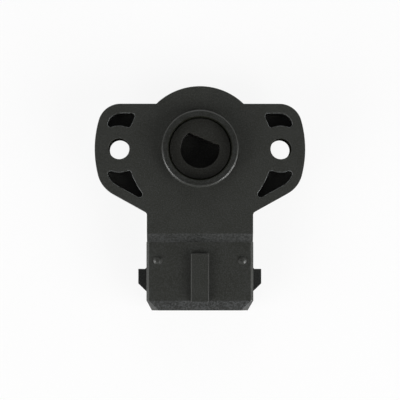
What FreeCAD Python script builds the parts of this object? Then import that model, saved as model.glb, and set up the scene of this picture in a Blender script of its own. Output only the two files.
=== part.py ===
import FreeCAD, Part
import math
import os

import Sketcher

# Throttle position sensor: a rotary potentiometer in a moulded housing with a three-way
# connector header. The origin is on the rotor's axis, at the front face of the flange. +Z leaves
# that face towards the throttle body, and the mouth of the connector points along -Y. The sensor
# lies on the back of its round body. Lengths are in millimetres and angles in degrees.

SIZES = {
    # Round body behind the flange, and the rim round its rear opening
    "body_radius": 14.8,
    "body_depth": 15.4,
    "body_rear_edge": 0.3,
    # Flange: the ear on the right is drawn, the one on the left is its mirror image
    "flange_top": 10.65,
    "ear_margin": 5.75,
    "flange_top_corner": 5.3,
    "flange_low_corner": 6.8,
    "flange_slope": 29.0,
    "slope_margin": 9.96,
    "ear_depth": 8.0,
    "hole_spacing": 38.0,
    "hole_radius": 2.4,
    "hole_entry": 0.15,
    # Blind pockets that core out the ears round a boss for each hole
    "hole_boss_radius": 5.5,
    "pocket_inner_radius": 17.1,
    "pocket_rim": 2.25,
    "pocket_depth": 6.0,
    "pocket_corner": 0.7,
    "pocket_edge": 0.12,
    # Neck between the round body and the connector header, ending in a ramp
    "neck_width": 24.96,
    "neck_end": 19.94,
    "neck_corner": 1.0,
    # Connector header, an open shroud with a lead-in round its mouth
    "header_drop": 1.9,
    "header_width": 25.2,
    "header_reach": 38.0,
    "header_edge": 0.6,
    "lead_in_length": 2.35,
    "lead_in_depth": 1.25,
    "lead_in_edge": 1.65,
    "cavity_width": 21.2,
    "cavity_height": 9.5,
    "cavity_depth": 13.0,
    "cavity_corner": 0.8,
    # Rib and pips on the header's front face, latch lugs on its sides
    "rib_width": 4.2,
    "rib_height": 1.9,
    "rib_start": 24.6,
    "rib_end": 35.85,
    "rib_edge": 0.25,
    "pip_radius": 1.05,
    "pip_height": 0.6,
    "pip_edge": 0.5,
    "pip_spacing": 19.9,
    "pip_distance": 26.1,
    "lug_reach": 2.0,
    "lug_shoulder": 28.2,
    "lug_crest_end": 31.65,
    "lug_end": 33.6,
    "lug_height": 4.6,
    "lug_root": 0.4,
    # Collar that locates the sensor on the throttle body, and the bore for the rotor
    "collar_radius": 9.0,
    "collar_height": 4.0,
    "collar_edge": 0.3,
    "bore_radius": 7.36,
    "bore_edge": 0.15,
    "front_wall": 2.4,
    # Chamber behind the front wall: rotor and spring in front, board and cover behind
    "chamber_radius": 11.7,
    "board_level": 9.6,
    "board_radius": 12.3,
    "board_thickness": 1.0,
    "board_play": 0.1,
    "board_tail_reach": 17.5,
    "tail_width": 15.0,
    "tail_reach": 20.0,
    "tail_level": 7.6,
    # Rear cover, let into the back, and the sealant round it
    "lid_level": 13.2,
    "lid_thickness": 2.0,
    "lid_radius": 13.2,
    "lid_tail_width": 17.2,
    "lid_tail_reach": 21.0,
    "lid_corner": 1.0,
    "seal_width": 0.5,
    "seal_thickness": 1.8,
    "skirt_wall": 1.0,
    "skirt_play": 0.1,
    "boss_radius": 4.8,
    "bearing_depth": 2.6,
    # Rotor: hub in the collar's bore, disc in the chamber, journal in the rear cover
    "rotor_recess": 2.5,
    "hub_play": 0.08,
    "hub_edge": 0.2,
    "disc_radius": 11.3,
    "disc_level": 5.9,
    "disc_thickness": 1.8,
    "neck_radius": 3.4,
    "shoulder_level": 11.0,
    "journal_radius": 2.6,
    "journal_play": 0.05,
    "journal_end": 13.6,
    "board_hole_radius": 3.9,
    # Drive socket: a round hole with one flat, which carries two crush ribs
    "socket_radius": 4.6,
    "socket_flat": 2.5,
    "socket_floor": 6.8,
    "socket_turn": -22.5,
    "crush_rib_radius": 0.5,
    "crush_rib_proud": 0.15,
    "crush_rib_spacing": 4.9,
    # Ring seal in the hub's groove
    "groove_start": 0.2,
    "groove_width": 1.8,
    "groove_radius": 5.95,
    "seal_ring_play": 0.03,
    "seal_ring_edge": 0.3,
    # Thrust washer between the rotor's shoulder and the cover's boss
    "washer_radius": 4.4,
    "washer_thickness": 0.35,
    "washer_play": 0.1,
    # Return spring round the hub, wound to the left, with a straight leg at each end
    "spring_wire": 0.56,
    "spring_radius": 8.4,
    "spring_pitch": 1.0,
    "spring_turns": 2.5,
    "spring_gap": 0.2,
    "spring_front_leg": 6.0,
    "spring_rear_leg": 5.0,
    # Housing's post that holds the spring's front leg
    "post_start": 4.7,
    "post_end": 8.0,
    "post_wall": 0.4,
    "post_slot_play": 0.05,
    # Rotor's dog, which the spring's rear leg pushes, and the housing's two stops
    "travel": 95.0,
    "dog_start": 3.4,
    "dog_end": 6.4,
    "dog_foot": 5.3,
    "dog_width": 1.15,
    "dog_play": 0.05,
    "dog_height": 1.9,
    "stop_radius": 10.3,
    "stop_angle": 20.0,
    "stop_play": 1.0,
    "stop_end": 5.6,
    "stop_root": 0.15,
    # Wiper: a sprung plate staked to the disc, with two arms that end in fingered brushes
    "wiper_turn": 42.5,
    "plate_thickness": 0.2,
    "plate_start": 6.7,
    "plate_end": 10.1,
    "plate_back": 4.6,
    "plate_front": 2.4,
    "arm_width": 1.0,
    "arm_flat": 1.5,
    "arm_tip": 0.5,
    "arm_level": 9.05,
    "brush_thickness": 0.12,
    "brush_reach": 0.3,
    "brush_play": 0.02,
    "finger_slot": 0.08,
    "finger_pitch": 0.22,
    "fingers": 5,
    "peg_radius": 0.5,
    "peg_play": 0.05,
    "peg_head_radius": 0.8,
    "peg_head_height": 0.3,
    "peg_spacing": 1.7,
    "peg_distance": 3.5,
    # Prints on the board
    "track_thickness": 0.05,
    "resistor_radius": 9.6,
    "collector_radius": 7.2,
    "track_width": 1.2,
    "pad_width": 3.8,
    "pad_end": 17.0,
    # Blades, their feet on the board, the solder and the potting round their tails
    "blade_pitch": 5.0,
    "blade_width": 2.8,
    "blade_thickness": 0.8,
    "blade_tip": 36.2,
    "blade_tip_edge": 0.25,
    "foot_start": 14.3,
    "foot_end": 16.9,
    "foot_bend": 0.5,
    "solder_side": 0.4,
    "solder_front": 0.5,
    "solder_end": 16.3,
    "solder_height": 0.6,
    "solder_round": 0.3,
    "potting_start": 17.9,
    "potting_depth": 4.6,
}

# Numbers by which a sketch knows a side's points, its own origin and its own axes
START, END, CENTRE = range(1, 4)
X_AXIS, Y_AXIS = range(-1, -3, -1)
ORIGIN = X_AXIS

# Corners of a square, as shares of half its side
SQUARE = ((1, 1), (-1, 1), (-1, -1), (1, -1))

# Distance within which two places count as the same
CLOSE = 1e-3


class Size:
    """A number together with the sheet expression that it comes from."""

    def __init__(self, value, text=None):
        self.value = float(value)
        self.text = text or "(%r)" % float(value)
        self.bound = text is not None

    def _with(self, other, sign, value):
        return Size(value, "(%s %s %s)" % (self.text, sign, other.text))

    def __add__(self, other):
        other = as_size(other)
        return self._with(other, "+", self.value + other.value)

    def __sub__(self, other):
        other = as_size(other)
        return self._with(other, "-", self.value - other.value)

    def __mul__(self, other):
        other = as_size(other)
        return self._with(other, "*", self.value * other.value)

    def __truediv__(self, other):
        other = as_size(other)
        return self._with(other, "/", self.value / other.value)

    def __radd__(self, other):
        return as_size(other) + self

    def __rsub__(self, other):
        return as_size(other) - self

    def __rmul__(self, other):
        return as_size(other) * self

    def __neg__(self):
        return 0 - self


def as_size(number):
    """Take a plain number or a Size as a Size."""
    return number if isinstance(number, Size) else Size(number)


def sine(angle):
    """Sine of a size in degrees."""
    return Size(math.sin(math.radians(angle.value)), "sin(%s)" % angle.text)


def cosine(angle):
    """Cosine of a size in degrees."""
    return Size(math.cos(math.radians(angle.value)), "cos(%s)" % angle.text)


def direction(x, y):
    """Angle in degrees of a point as seen from the rotor's axis."""
    angle = math.degrees(math.atan2(y.value, x.value))
    return Size(angle, "(atan2(%s; %s) / 1 deg)" % (y.text, x.text))


def make_sheet(doc):
    """Write the driving sizes to a sheet and return one Size for each of them."""
    sheet = doc.addObject("Spreadsheet::Sheet", "Sizes")
    sizes = {}
    for row, (alias, value) in enumerate(SIZES.items(), start=1):
        sheet.set("A%d" % row, alias)
        sheet.set("B%d" % row, str(value))
        sheet.setAlias("B%d" % row, alias)
        sizes[alias] = Size(value, "Sizes." + alias)
    doc.recompute()
    return sizes


class Sheet:
    """The driving sizes as attributes."""

    def __init__(self, doc):
        self.__dict__.update(make_sheet(doc))


class Profile:
    """A sketch of one piece, with its places and radii bound to the sheet."""

    def __init__(self, body, name, plane="XY_Plane", level=0):
        self.sketch = body.newObject("Sketcher::SketchObject", name)
        support = [f for f in body.Origin.OriginFeatures if f.Role == plane][0]
        self.sketch.AttachmentSupport = (support, [""])
        self.sketch.MapMode = "FlatFace"
        self.sketch.setExpression("AttachmentOffset.Base.z", as_size(level).text)

    def turn(self, angle):
        """Turn the sketch about the rotor's axis."""
        offset = self.sketch.AttachmentOffset
        offset.Rotation = FreeCAD.Rotation(FreeCAD.Vector(0, 0, 1), angle.value)
        self.sketch.AttachmentOffset = offset
        self.sketch.setExpression("AttachmentOffset.Rotation.Angle", angle.text)

    def bind(self, kind, *where):
        """Add a constraint whose last argument is a size from the sheet."""
        size = as_size(where[-1])
        row = self.sketch.addConstraint(Sketcher.Constraint(kind, *where[:-1], size.value))
        if size.bound:
            self.sketch.setExpression("Constraints[%d]" % row, size.text)

    def tie(self, kind, *where):
        """Add a constraint that has no size."""
        self.sketch.addConstraint(Sketcher.Constraint(kind, *where))

    def put_x(self, side, point, x):
        """Hold a point of a side at a distance to the right of the origin."""
        if as_size(x).bound:
            self.bind("DistanceX", ORIGIN, START, side, point, x)
        else:
            self.tie("PointOnObject", side, point, Y_AXIS)

    def put_y(self, side, point, y):
        """Hold a point of a side at a distance above the origin."""
        if as_size(y).bound:
            self.bind("DistanceY", ORIGIN, START, side, point, y)
        else:
            self.tie("PointOnObject", side, point, X_AXIS)

    def put(self, side, point, x, y):
        """Hold a point of a side at a place."""
        self.put_x(side, point, x)
        self.put_y(side, point, y)

    def lean(self, side, angle):
        """Hold a straight side at an angle in degrees to the right."""
        constraint = Sketcher.Constraint("Angle", side[0], math.radians(angle.value))
        row = self.sketch.addConstraint(constraint)
        self.sketch.setExpression("Constraints[%d]" % row, angle.text + " * 1 deg")

    def polygon(self, *corners):
        """Draw straight sides round corners given as (x, y)."""
        places = [point(x, y) for x, y in corners]
        following = places[1:] + places[:1]
        sides = [
            self.sketch.addGeometry(Part.LineSegment(a, b)) for a, b in zip(places, following)
        ]
        for side, after in zip(sides, sides[1:] + sides[:1]):
            self.tie("Coincident", side, END, after, START)
        for side, (x, y) in zip(sides, corners):
            self.put(side, START, x, y)

    def rectangle(self, left, right, low, high):
        """Draw a rectangle between two distances each way."""
        self.polygon((left, low), (right, low), (right, high), (left, high))

    def rounded_rectangle(self, left, right, low, high, radius, rounded=(True,) * 4):
        """Draw a rectangle whose named corners are round, from the lower right one on."""
        corners = [(right.value, low.value), (right.value, high.value)]
        corners += [(left.value, high.value), (left.value, low.value)]
        ways = [(1, 0), (0, 1), (-1, 0), (0, -1)]
        cuts = [radius.value if is_round else 0 for is_round in rounded]
        straight, ring, smooth = [], [], []
        for k, way in enumerate(ways):
            turn = ways[(k + 1) % 4]
            start = shift(corners[k - 1], way, cuts[k - 1])
            end = shift(corners[k], way, -cuts[k])
            side = self.line(start, end)
            straight.append(side)
            ring.append(side)
            if rounded[k]:
                bow = self.arc(shift(end, turn, cuts[k]), end, shift(corners[k], turn, cuts[k]))
                self.bind("Radius", bow[0], radius)
                ring.append(bow)
                smooth += [side, bow]
        self.close(ring, smooth)
        bottom, right_side, top, left_side = straight
        for side, kind in zip(straight, ("Horizontal", "Vertical") * 2):
            self.tie(kind, side[0])
        self.put_y(bottom[0], START, low)
        self.put_x(right_side[0], START, right)
        self.put_y(top[0], START, high)
        self.put_x(left_side[0], START, left)

    def circle(self, x, y, radius):
        """Draw a circle round a place."""
        ring = self.sketch.addGeometry(Part.Circle(point(x, y), FreeCAD.Vector(0, 0, 1), radius.value))
        if as_size(x).bound or as_size(y).bound:
            self.put(ring, CENTRE, x, y)
        else:
            self.tie("Coincident", ring, CENTRE, ORIGIN, START)
        self.bind("Radius", ring, radius)

    def line(self, start, end):
        """Draw a loose straight side and return it with its first and last point numbers."""
        side = self.sketch.addGeometry(Part.LineSegment(flat(start), flat(end)))
        return side, START, END

    def arc(self, centre, start, end, backwards=False):
        """Draw a loose arc round a centre, anticlockwise unless it runs backwards."""
        first, last = (end, start) if backwards else (start, end)
        radius = math.dist(centre, start)
        circle = Part.Circle(flat(centre), FreeCAD.Vector(0, 0, 1), radius)
        angles = [math.atan2(p[1] - centre[1], p[0] - centre[0]) for p in (first, last)]
        if angles[1] <= angles[0]:
            angles[1] += 2 * math.pi
        side = self.sketch.addGeometry(Part.ArcOfCircle(circle, *angles))
        return (side, END, START) if backwards else (side, START, END)

    def close(self, sides, smooth=()):
        """Join loose sides end to end in a ring, tangent after each side named in smooth."""
        for side, after in zip(sides, sides[1:] + sides[:1]):
            kind = "Tangent" if side in smooth else "Coincident"
            self.tie(kind, side[0], side[2], after[0], after[1])

    def centre_on(self, side, x, y, radius):
        """Hold an arc's centre and radius."""
        if as_size(x).bound or as_size(y).bound:
            self.put(side[0], CENTRE, x, y)
        else:
            self.tie("Coincident", side[0], CENTRE, ORIGIN, START)
        self.bind("Radius", side[0], radius)


def point(x, y):
    """Place in a sketch as a vector."""
    return FreeCAD.Vector(as_size(x).value, as_size(y).value, 0)


def flat(place):
    """Plain pair of numbers as a vector in a sketch."""
    return FreeCAD.Vector(place[0], place[1], 0)


def shift(place, way, length):
    """Pair of numbers moved a length along a way."""
    return (place[0] + way[0] * length, place[1] + way[1] * length)


class Piece:
    """A piece made by sketch-based features, one after the other, in one body."""

    def __init__(self, doc, label):
        self.doc = doc
        self.body = doc.addObject("PartDesign::Body", label)
        self.body.Label = label

    def profile(self, name, plane="XY_Plane", level=0):
        """Start a sketch on one of the piece's own planes, moved along its normal."""
        return Profile(self.body, self.body.Name + "_" + name, plane, level)

    def _feature(self, kind, profile, length, back, middle):
        name = profile.sketch.Name + kind
        feature = self.body.newObject("PartDesign::" + kind, name)
        feature.Profile = profile.sketch
        feature.setExpression("Length", as_size(length).text)
        feature.Reversed = back
        if middle:
            feature.SideType = "Symmetric"
        self.doc.recompute()
        return feature

    def pad(self, profile, length, back=False, middle=False):
        """Add the profile along its normal, or back against it, or to both sides."""
        return self._feature("Pad", profile, length, back, middle)

    def pocket(self, profile, length, back=False, middle=False):
        """Cut the profile against its normal, or back along it, or to both sides."""
        before = self.body.Shape.Volume
        feature = self._feature("Pocket", profile, length, back, middle)
        if not self.body.Shape.Volume < before:
            raise RuntimeError(feature.Name + " cuts nothing")
        return feature

    def loft(self, first, last):
        """Add the form that runs from one profile to the other."""
        feature = self.body.newObject("PartDesign::AdditiveLoft", last.sketch.Name + "Loft")
        feature.Profile = first.sketch
        feature.Sections = [last.sketch]
        feature.Ruled = True
        self.doc.recompute()
        return feature

    def revolve(self, profile):
        """Turn a profile of the XZ plane round the rotor's axis."""
        feature = self.body.newObject("PartDesign::Revolution", profile.sketch.Name + "Turned")
        feature.Profile = profile.sketch
        feature.ReferenceAxis = (profile.sketch, ["V_Axis"])
        feature.Angle = 360
        self.doc.recompute()
        return feature

    def mirror(self, features, name):
        """Repeat features on the other side of the YZ plane."""
        mirrored = self.body.newObject("PartDesign::Mirrored", self.body.Name + "_" + name)
        mirrored.Originals = features
        plane = [f for f in self.body.Origin.OriginFeatures if f.Role == "YZ_Plane"][0]
        mirrored.MirrorPlane = (plane, [""])
        self.body.Tip = mirrored
        self.doc.recompute()
        return mirrored

    def repeat(self, feature, length, count, name):
        """Repeat a feature in a row along X."""
        row = self.body.newObject("PartDesign::LinearPattern", self.body.Name + "_" + name)
        row.Originals = [feature]
        axis = [f for f in self.body.Origin.OriginFeatures if f.Role == "X_Axis"][0]
        row.Direction = (axis, [""])
        row.setExpression("Length", length.text)
        row.setExpression("Occurrences", count.text)
        self.body.Tip = row
        self.doc.recompute()
        return row

    def dress(self, kind, name, size, wanted):
        """Fillet or chamfer the edges of the piece that pass a test."""
        base = self.body.Tip
        edges = [
            "Edge%d" % number
            for number, edge in enumerate(base.Shape.Edges, start=1)
            if wanted(edge, middle_of(edge))
        ]
        if not edges:
            raise RuntimeError("no edge for " + name)
        feature = self.body.newObject("PartDesign::" + kind, self.body.Name + "_" + name)
        feature.Base = (base, edges)
        feature.setExpression("Radius" if kind == "Fillet" else "Size", as_size(size).text)
        self.doc.recompute()
        return feature

    def fillet(self, name, radius, wanted):
        """Round the edges that pass a test."""
        return self.dress("Fillet", name, radius, wanted)

    def chamfer(self, name, size, wanted):
        """Bevel the edges that pass a test."""
        return self.dress("Chamfer", name, size, wanted)


def middle_of(edge):
    """Point half way along an edge."""
    return edge.valueAt((edge.FirstParameter + edge.LastParameter) / 2)


def near(number, size):
    """Whether a coordinate lies at a size."""
    return abs(number - as_size(size).value) < CLOSE


def is_straight(edge, way):
    """Whether an edge is straight and runs along one axis."""
    if not isinstance(edge.Curve, Part.Line):
        return False
    return abs(abs(edge.Curve.Direction.dot(way)) - 1) < 1e-6


def is_round(edge, radius, level):
    """Whether an edge is an arc of a radius at a level, round the rotor's axis."""
    curve = edge.Curve
    if not isinstance(curve, Part.Circle) or not near(curve.Radius, radius):
        return False
    return near(curve.Center.z, level) and math.hypot(curve.Center.x, curve.Center.y) < CLOSE


def keyhole(profile, radius, width, reach):
    """Draw a round outline that opens into a straight tail towards the connector."""
    half = width.value / 2
    low = -reach.value
    meet = -math.sqrt(radius.value**2 - half**2)
    ring = profile.arc((0, 0), (half, meet), (-half, meet))
    left = profile.line((-half, meet), (-half, low))
    bottom = profile.line((-half, low), (half, low))
    right = profile.line((half, low), (half, meet))
    profile.close([ring, left, bottom, right])
    profile.centre_on(ring, 0, 0, radius)
    profile.tie("Vertical", left[0])
    profile.tie("Vertical", right[0])
    profile.put(left[0], END, -width / 2, -reach)
    profile.put(right[0], START, width / 2, -reach)


def ear_reach(s):
    """Distance of the ear's round side from the axis."""
    return s.hole_spacing / 2 + s.ear_margin


def slope_frame(s):
    """Unit vectors along the ear's sloping edge and towards the axis, and its distance."""
    angle = math.radians(s.flange_slope.value)
    along = (math.cos(angle), math.sin(angle))
    inward = (-along[1], along[0])
    return along, inward, slope_distance(s).value


def on_slope(s, run, height):
    """Point that lies a run along the slope and a height above it, from the axis's foot."""
    along, inward, distance = slope_frame(s)
    rise = height - distance
    return (run * along[0] + rise * inward[0], run * along[1] + rise * inward[1])


def top_corner_centre(s):
    """Centre of the ear's top corner, which is tangent to its top and to its side."""
    y = s.flange_top.value - s.flange_top_corner.value
    reach = ear_reach(s).value - s.flange_top_corner.value
    return (math.sqrt(reach**2 - y**2), y)


def low_corner_run(s):
    """How far along the slope the ear's low corner has its centre."""
    distance = slope_frame(s)[2]
    reach = ear_reach(s).value - s.flange_low_corner.value
    return math.sqrt(reach**2 - (distance - s.flange_low_corner.value) ** 2)


def stretch(place, length):
    """Point in the same direction from the axis, at another distance."""
    return tuple(c * length / math.hypot(*place) for c in place)


def draw_ear(profile, s):
    """Draw the right half of the flange, from its middle to the round side of the ear."""
    top = s.flange_top.value
    side = ear_reach(s).value
    high = top_corner_centre(s)
    low = on_slope(s, low_corner_run(s), s.flange_low_corner.value)
    foot = on_slope(s, low_corner_run(s), 0)
    neck = (s.neck_width.value / 2, -neck_shoulder(s).value)
    middle = profile.line((0, neck[1]), neck)
    slope = profile.line(neck, foot)
    low_corner = profile.arc(low, foot, stretch(low, side))
    round_side = profile.arc((0, 0), stretch(low, side), stretch(high, side))
    high_corner = profile.arc(high, stretch(high, side), (high[0], top))
    edge = profile.line((high[0], top), (0, top))
    spine = profile.line((0, top), (0, neck[1]))
    profile.close(
        [middle, slope, low_corner, round_side, high_corner, edge, spine],
        smooth=[slope, low_corner, round_side, high_corner],
    )
    profile.tie("Horizontal", middle[0])
    profile.tie("Horizontal", edge[0])
    profile.put_x(spine[0], START, 0)
    profile.put_x(spine[0], END, 0)
    profile.put_y(edge[0], END, s.flange_top)
    profile.put(slope[0], START, s.neck_width / 2, -neck_shoulder(s))
    profile.lean(slope, s.flange_slope)
    profile.centre_on(round_side, 0, 0, ear_reach(s))
    profile.bind("Radius", high_corner[0], s.flange_top_corner)
    profile.bind("Radius", low_corner[0], s.flange_low_corner)


def draw_high_pocket(profile, s):
    """Draw the pocket between the hole's boss and the ear's top edge."""
    top = s.flange_top.value - s.pocket_rim.value
    side = ear_reach(s).value - s.pocket_rim.value
    inner = s.pocket_inner_radius.value
    high = top_corner_centre(s)
    boss = (s.hole_spacing.value / 2, 0)
    outer_meet = meet_boss(s, side)
    inner_meet = meet_boss(s, inner)
    edge = profile.line((high[0], top), (math.sqrt(inner**2 - top**2), top))
    wall = profile.arc((0, 0), (math.sqrt(inner**2 - top**2), top), inner_meet, backwards=True)
    hump = profile.arc(boss, inner_meet, outer_meet, backwards=True)
    round_side = profile.arc((0, 0), outer_meet, stretch(high, side))
    corner = profile.arc(high, stretch(high, side), (high[0], top))
    profile.close([edge, wall, hump, round_side, corner], smooth=[round_side, corner])
    profile.tie("Horizontal", edge[0])
    profile.put_y(edge[0], END, s.flange_top - s.pocket_rim)
    profile.centre_on(wall, 0, 0, s.pocket_inner_radius)
    profile.centre_on(hump, s.hole_spacing / 2, 0, s.hole_boss_radius)
    profile.centre_on(round_side, 0, 0, ear_reach(s) - s.pocket_rim)
    profile.bind("Radius", corner[0], s.flange_top_corner - s.pocket_rim)


def draw_low_pocket(profile, s):
    """Draw the pocket between the hole's boss and the ear's sloping edge."""
    rim = s.pocket_rim.value
    side = ear_reach(s).value - rim
    inner = s.pocket_inner_radius.value
    tip = s.pocket_corner.value
    distance = slope_frame(s)[2]
    boss = (s.hole_spacing.value / 2, 0)
    low = on_slope(s, low_corner_run(s), s.flange_low_corner.value)
    foot = on_slope(s, low_corner_run(s), rim)
    outer_meet = mirror_down(meet_boss(s, side))
    inner_meet = mirror_down(meet_boss(s, inner))
    tip_run = math.sqrt((inner + tip) ** 2 - (distance - rim - tip) ** 2)
    tip_centre = on_slope(s, tip_run, rim + tip)
    tip_foot = on_slope(s, tip_run, rim)
    hump = profile.arc(boss, outer_meet, inner_meet, backwards=True)
    wall = profile.arc((0, 0), inner_meet, stretch(tip_centre, inner), backwards=True)
    point_end = profile.arc(tip_centre, stretch(tip_centre, inner), tip_foot)
    slope = profile.line(tip_foot, foot)
    low_corner = profile.arc(low, foot, stretch(low, side))
    round_side = profile.arc((0, 0), stretch(low, side), outer_meet)
    profile.close(
        [hump, wall, point_end, slope, low_corner, round_side],
        smooth=[wall, point_end, slope, low_corner],
    )
    profile.centre_on(hump, s.hole_spacing / 2, 0, s.hole_boss_radius)
    profile.centre_on(wall, 0, 0, s.pocket_inner_radius)
    profile.bind("Radius", point_end[0], s.pocket_corner)
    profile.lean(slope, s.flange_slope)
    profile.bind("Distance", ORIGIN, START, slope[0], slope_distance(s) - s.pocket_rim)
    profile.bind("Radius", low_corner[0], s.flange_low_corner - s.pocket_rim)
    profile.centre_on(round_side, 0, 0, ear_reach(s) - s.pocket_rim)


def slope_distance(s):
    """Distance of the ear's sloping edge from the axis."""
    return s.slope_margin + sine(s.flange_slope) * s.hole_spacing / 2


def neck_shoulder(s):
    """Distance below the axis at which the ear's sloping edge meets the neck."""
    rise = sine(s.flange_slope) * s.neck_width / 2
    return (slope_distance(s) - rise) / cosine(s.flange_slope)


def meet_boss(s, radius):
    """Upper point where the hole's boss meets a circle round the axis."""
    middle = s.hole_spacing.value / 2
    x = (radius**2 - s.hole_boss_radius.value**2 + middle**2) / (2 * middle)
    return (x, math.sqrt(radius**2 - x**2))


def mirror_down(place):
    """Same point on the other side of the X axis."""
    return (place[0], -place[1])


def add_ears(housing, s):
    """Add the two ears with their holes and cored pockets."""
    outline = housing.profile("Ear")
    draw_ear(outline, s)
    plate = housing.pad(outline, s.ear_depth, back=True)
    high = housing.profile("HighPocket")
    draw_high_pocket(high, s)
    high_cut = housing.pocket(high, s.pocket_depth)
    low = housing.profile("LowPocket")
    draw_low_pocket(low, s)
    low_cut = housing.pocket(low, s.pocket_depth)
    hole = housing.profile("MountingHole")
    hole.circle(s.hole_spacing / 2, 0, s.hole_radius)
    hole_cut = housing.pocket(hole, s.ear_depth)
    housing.mirror([plate, high_cut, low_cut, hole_cut], "Ears")


def add_neck(housing, s):
    """Add the neck, whose front face ends in a ramp down to the header."""
    ramp_end = s.neck_end + s.header_drop
    side = housing.profile("NeckSide", "YZ_Plane")
    side.polygon(
        (0, 0),
        (0, -s.body_depth),
        (-ramp_end, -s.body_depth),
        (-ramp_end, -s.header_drop),
        (-s.neck_end, 0),
    )
    housing.pad(side, s.neck_width, middle=True)


def draw_header_section(profile, s, inset, edge):
    """Draw the header's outer section with bevelled corners, inset from its full size."""
    right = s.header_width / 2 - inset
    top = -s.header_drop - inset
    bottom = -s.body_depth + inset
    profile.polygon(
        (-right + edge, bottom),
        (right - edge, bottom),
        (right, bottom + edge),
        (right, top - edge),
        (right - edge, top),
        (-right + edge, top),
        (-right, top - edge),
        (-right, bottom + edge),
    )


def add_header(housing, s):
    """Add the connector header with its lead-in, rib, pips and latch lugs."""
    start = s.neck_end + s.header_drop
    lead_in = s.header_reach - s.lead_in_length
    shroud = housing.profile("Header", "XZ_Plane", start)
    draw_header_section(shroud, s, Size(0), s.header_edge)
    housing.pad(shroud, lead_in - start)
    wide = housing.profile("LeadInWide", "XZ_Plane", lead_in)
    draw_header_section(wide, s, Size(0), s.header_edge)
    narrow = housing.profile("LeadInNarrow", "XZ_Plane", s.header_reach)
    draw_header_section(narrow, s, s.lead_in_depth, s.lead_in_edge)
    housing.loft(wide, narrow)

    rib = housing.profile("Rib", "XZ_Plane", s.rib_start)
    rib.rounded_rectangle(
        -s.rib_width / 2, s.rib_width / 2,
        -s.header_drop - s.lead_in_depth, s.rib_height - s.header_drop,
        s.rib_edge, rounded=(False, True, True, False),
    )
    housing.pad(rib, s.rib_end - s.rib_start)

    pip = housing.profile("Pip", level=-s.header_drop)
    pip.circle(s.pip_spacing / 2, -s.pip_distance, s.pip_radius)
    one_pip = housing.pad(pip, s.pip_height)
    lug = housing.profile("Lug", level=-middle_depth(s))
    lug.polygon(
        (s.header_width / 2 - s.header_edge, -s.lug_end),
        (s.header_width / 2, -s.lug_end),
        (s.header_width / 2 + s.lug_reach, -s.lug_crest_end),
        (s.header_width / 2 + s.lug_reach, -s.lug_shoulder),
        (s.header_width / 2 + s.lug_root, -s.lug_shoulder),
        (s.header_width / 2, -s.lug_shoulder + s.lug_root),
        (s.header_width / 2 - s.header_edge, -s.lug_shoulder + s.lug_root),
    )
    one_lug = housing.pad(lug, s.lug_height, middle=True)
    housing.mirror([one_pip, one_lug], "PipAndLug")
    crown = s.pip_height - s.header_drop
    housing.chamfer("PipCrown", s.pip_edge, lambda edge, at: (
        isinstance(edge.Curve, Part.Circle) and near(edge.Curve.Radius, s.pip_radius)
        and near(at.z, crown)
    ))


def middle_depth(s):
    """Depth of the header's middle, where the blades and the lugs lie."""
    return (s.header_drop + s.body_depth) / 2


def add_collar(housing, s):
    """Add the locating collar and bore it for the rotor."""
    collar = housing.profile("Collar")
    collar.circle(0, 0, s.collar_radius)
    housing.pad(collar, s.collar_height)
    bore = housing.profile("Bore", level=s.collar_height)
    bore.circle(0, 0, s.bore_radius)
    housing.pocket(bore, s.collar_height + s.front_wall)


def hollow_back(housing, s):
    """Cut the lid's seat, the board's seat, the rotor's chamber and its tail from behind."""
    rebate = housing.profile("LidSeat", level=-s.body_depth)
    width = s.lid_tail_width + 2 * s.seal_width
    keyhole(rebate, s.lid_radius + s.seal_width, width, s.lid_tail_reach + s.seal_width)
    housing.pocket(rebate, s.body_depth - s.lid_level, back=True)
    seat = housing.profile("BoardSeat", level=-s.lid_level)
    keyhole(seat, s.board_radius + s.board_play, s.tail_width, s.tail_reach)
    housing.pocket(seat, s.lid_level - s.board_level, back=True)
    tail = housing.profile("Tail", level=-s.board_level)
    keyhole(tail, s.chamber_radius, s.tail_width, s.tail_reach)
    housing.pocket(tail, s.board_level - s.tail_level, back=True)
    chamber = housing.profile("Chamber", level=-s.tail_level)
    chamber.circle(0, 0, s.chamber_radius)
    housing.pocket(chamber, s.tail_level - s.front_wall, back=True)


def open_header(housing, s):
    """Cut the header's cavity and the three slots that the blades are moulded into."""
    middle = -middle_depth(s)
    cavity = housing.profile("Cavity", "XZ_Plane", s.header_reach)
    cavity.rounded_rectangle(
        -s.cavity_width / 2, s.cavity_width / 2,
        middle - s.cavity_height / 2, middle + s.cavity_height / 2, s.cavity_corner,
    )
    housing.pocket(cavity, s.cavity_depth)
    floor = s.header_reach - s.cavity_depth
    slots = housing.profile("BladeSlots", "XZ_Plane", floor)
    for place in PLACES:
        slots.rectangle(
            place * s.blade_pitch - s.blade_width / 2, place * s.blade_pitch + s.blade_width / 2,
            middle - s.blade_thickness / 2, middle + s.blade_thickness / 2,
        )
    housing.pocket(slots, floor - s.tail_reach)


def dog_place(s):
    """Height of the dog's pushed face at rest, below the spring's rear leg."""
    return -s.spring_radius - s.spring_wire / 2 - s.dog_play


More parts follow.
